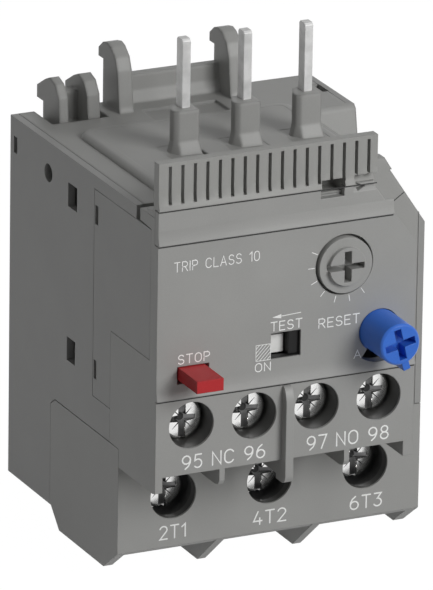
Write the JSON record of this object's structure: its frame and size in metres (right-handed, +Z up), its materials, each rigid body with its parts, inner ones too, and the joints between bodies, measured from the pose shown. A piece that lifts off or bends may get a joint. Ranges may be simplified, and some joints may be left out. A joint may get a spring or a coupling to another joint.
{
  "type": "thermal overload relay",
  "caption": "Plug-on bimetal overload relay with screw terminals, current dial, reset knob, stop button, test slide, contactor pins and hooks.",
  "frame": {"origin": "rear mounting face, on its centre line, level with the terminal block's lower front edge", "axes": "+X to the right seen from the front, +Y to the rear (front faces -Y), +Z up along the contactor pins"},
  "size_m": [0.044, 0.0545, 0.0709],
  "materials": {
    "case_grey": "moulded, fine grain",
    "side_grey": "moulded, fine grain",
    "inner_black": "moulded",
    "pin_metal": "tinned",
    "heater_sleeve": "woven insulation",
    "bimetal": "rolled strip",
    "tab_brass": "rolled strip",
    "spring_steel": "drawn wire",
    "screw_nickel": "nickel plated",
    "cage_steel": "zinc plated",
    "knob_blue": "moulded",
    "plunger_grey": "moulded",
    "button_red": "moulded",
    "dial_grey": "moulded",
    "flag_white": "moulded"
  },
  "bodies": {
    "case": {"rear_housing": "case_grey", "left_side_cover": "side_grey", "right_side_cover": "side_grey", "side_insert": "side_grey", "front_cover": "case_grey", "label_carrier": "case_grey", "vent_comb": "case_grey", "aux_terminal_block": "case_grey", "terminal_block": "case_grey", "mechanism_plate": "inner_black", "contact_pin_1": "pin_metal", "contact_pin_2": "pin_metal", "contact_pin_3": "pin_metal", "heater_winding_1": "heater_sleeve", "heater_winding_2": "heater_sleeve", "heater_winding_3": "heater_sleeve", "bimetal_1": "bimetal", "bimetal_2": "bimetal", "bimetal_3": "bimetal", "busbar_1": "pin_metal", "busbar_2": "pin_metal", "busbar_3": "pin_metal", "tab_95": "tab_brass", "tab_96": "tab_brass", "tab_97": "tab_brass", "tab_98": "tab_brass", "compensation_strip": "bimetal", "reset_spring": "spring_steel", "stop_spring": "spring_steel"},
    "dial": {"current_dial": "dial_grey"},
    "plunger": {"reset_plunger": "plunger_grey"},
    "knob": {"reset_knob": "knob_blue"},
    "stop": {"stop_button": "button_red"},
    "test": {"test_slide": "inner_black", "test_flag": "flag_white"},
    "opening_contact": {"opening_arm": "tab_brass"},
    "closing_contact": {"closing_arm": "tab_brass"},
    "trip_slider": {"trip_bar": "inner_black"},
    "trip_rocker": {"trip_lever": "inner_black"},
    "main_screw_1": {"main_screw_1": "screw_nickel"},
    "main_cage_1": {"main_cage_1": "cage_steel"},
    "main_screw_2": {"main_screw_2": "screw_nickel"},
    "main_cage_2": {"main_cage_2": "cage_steel"},
    "main_screw_3": {"main_screw_3": "screw_nickel"},
    "main_cage_3": {"main_cage_3": "cage_steel"},
    "aux_screw_1": {"aux_screw_1": "screw_nickel"},
    "aux_cage_1": {"aux_cage_1": "cage_steel"},
    "aux_screw_2": {"aux_screw_2": "screw_nickel"},
    "aux_cage_2": {"aux_cage_2": "cage_steel"},
    "aux_screw_3": {"aux_screw_3": "screw_nickel"},
    "aux_cage_3": {"aux_cage_3": "cage_steel"},
    "aux_screw_4": {"aux_screw_4": "screw_nickel"},
    "aux_cage_4": {"aux_cage_4": "cage_steel"}
  },
  "joints": [
    {"name": "dial_turn", "type": "hinge", "parent": "case", "child": "dial", "pos_m": [0.0047, -0.0463, 0.0403], "axis": [0, 1, 0], "range_deg": [-75, 75]},
    {"name": "reset_press", "type": "slide", "parent": "case", "child": "plunger", "axis": [0, 1, 0], "range_m": [0, 0.0022], "stiffness_N_per_m": 300, "springref_m": -0.003, "deforming": ["reset_spring"]},
    {"name": "reset_turn", "type": "hinge", "parent": "plunger", "child": "knob", "pos_m": [0.01, -0.0463, 0.0305], "axis": [0, 1, 0], "range_deg": [0, 62]},
    {"name": "stop_press", "type": "slide", "parent": "case", "child": "stop", "axis": [0, 1, 0], "range_m": [0, 0.002], "stiffness_N_per_m": 300, "springref_m": -0.003, "deforming": ["stop_spring"]},
    {"name": "test_push", "type": "slide", "parent": "case", "child": "test", "axis": [-1, 0, 0], "range_m": [0, 0.0019]},
    {"name": "opening_swing", "type": "hinge", "parent": "case", "child": "opening_contact", "pos_m": [-0.0104, -0.0375, 0.0272], "axis": [0, -1, 0], "range_deg": [0, 17.5]},
    {"name": "closing_swing", "type": "hinge", "parent": "case", "child": "closing_contact", "pos_m": [0.0028, -0.0375, 0.0272], "axis": [0, -1, 0], "range_deg": [0, 17.5]},
    {"name": "trip_slide", "type": "slide", "parent": "case", "child": "trip_slider", "axis": [1, 0, 0], "range_m": [0, 0.0012]},
    {"name": "trip_rock", "type": "hinge", "parent": "case", "child": "trip_rocker", "pos_m": [0.0168, -0.0263, 0.037], "axis": [0, 1, 0], "range_deg": [0, 14.2]},
    {"name": "main_screw_turn_1", "type": "hinge", "parent": "case", "child": "main_screw_1", "pos_m": [-0.014, -0.035, 0.00715], "axis": [0, 1, 0], "range_deg": [-10, 740]},
    {"name": "main_cage_slide_1", "type": "slide", "parent": "case", "child": "main_cage_1", "axis": [0, -1, 0], "range_m": [0, 0.0014]},
    {"name": "main_screw_turn_2", "type": "hinge", "parent": "case", "child": "main_screw_2", "pos_m": [0, -0.035, 0.00715], "axis": [0, 1, 0], "range_deg": [-10, 740]},
    {"name": "main_cage_slide_2", "type": "slide", "parent": "case", "child": "main_cage_2", "axis": [0, -1, 0], "range_m": [0, 0.0014]},
    {"name": "main_screw_turn_3", "type": "hinge", "parent": "case", "child": "main_screw_3", "pos_m": [0.014, -0.035, 0.00715], "axis": [0, 1, 0], "range_deg": [-10, 740]},
    {"name": "main_cage_slide_3", "type": "slide", "parent": "case", "child": "main_cage_3", "axis": [0, -1, 0], "range_m": [0, 0.0014]},
    {"name": "aux_screw_turn_1", "type": "hinge", "parent": "case", "child": "aux_screw_1", "pos_m": [-0.0169, -0.0463, 0.0212], "axis": [0, 1, 0], "range_deg": [-10, 740]},
    {"name": "aux_cage_slide_1", "type": "slide", "parent": "case", "child": "aux_cage_1", "axis": [0, -1, 0], "range_m": [0, 0.001]},
    {"name": "aux_screw_turn_2", "type": "hinge", "parent": "case", "child": "aux_screw_2", "pos_m": [-0.0079, -0.0463, 0.0212], "axis": [0, 1, 0], "range_deg": [-10, 740]},
    {"name": "aux_cage_slide_2", "type": "slide", "parent": "case", "child": "aux_cage_2", "axis": [0, -1, 0], "range_m": [0, 0.001]},
    {"name": "aux_screw_turn_3", "type": "hinge", "parent": "case", "child": "aux_screw_3", "pos_m": [0.0011, -0.0463, 0.0212], "axis": [0, 1, 0], "range_deg": [-10, 740]},
    {"name": "aux_cage_slide_3", "type": "slide", "parent": "case", "child": "aux_cage_3", "axis": [0, -1, 0], "range_m": [0, 0.001]},
    {"name": "aux_screw_turn_4", "type": "hinge", "parent": "case", "child": "aux_screw_4", "pos_m": [0.0101, -0.0463, 0.0212], "axis": [0, 1, 0], "range_deg": [-10, 740]},
    {"name": "aux_cage_slide_4", "type": "slide", "parent": "case", "child": "aux_cage_4", "axis": [0, -1, 0], "range_m": [0, 0.001]}
  ],
  "couplings": [
    {"joint": "opening_swing", "follows": "test_push", "rad_per_m": 159},
    {"joint": "closing_swing", "follows": "test_push", "rad_per_m": 159},
    {"joint": "trip_rock", "follows": "trip_slide", "rad_per_m": 204},
    {"joint": "main_screw_turn_1", "follows": "main_cage_slide_1", "rad_per_m": 8976},
    {"joint": "main_screw_turn_2", "follows": "main_cage_slide_2", "rad_per_m": 8976},
    {"joint": "main_screw_turn_3", "follows": "main_cage_slide_3", "rad_per_m": 8976},
    {"joint": "aux_screw_turn_1", "follows": "aux_cage_slide_1", "rad_per_m": 12566},
    {"joint": "aux_screw_turn_2", "follows": "aux_cage_slide_2", "rad_per_m": 12566},
    {"joint": "aux_screw_turn_3", "follows": "aux_cage_slide_3", "rad_per_m": 12566},
    {"joint": "aux_screw_turn_4", "follows": "aux_cage_slide_4", "rad_per_m": 12566}
  ]
}
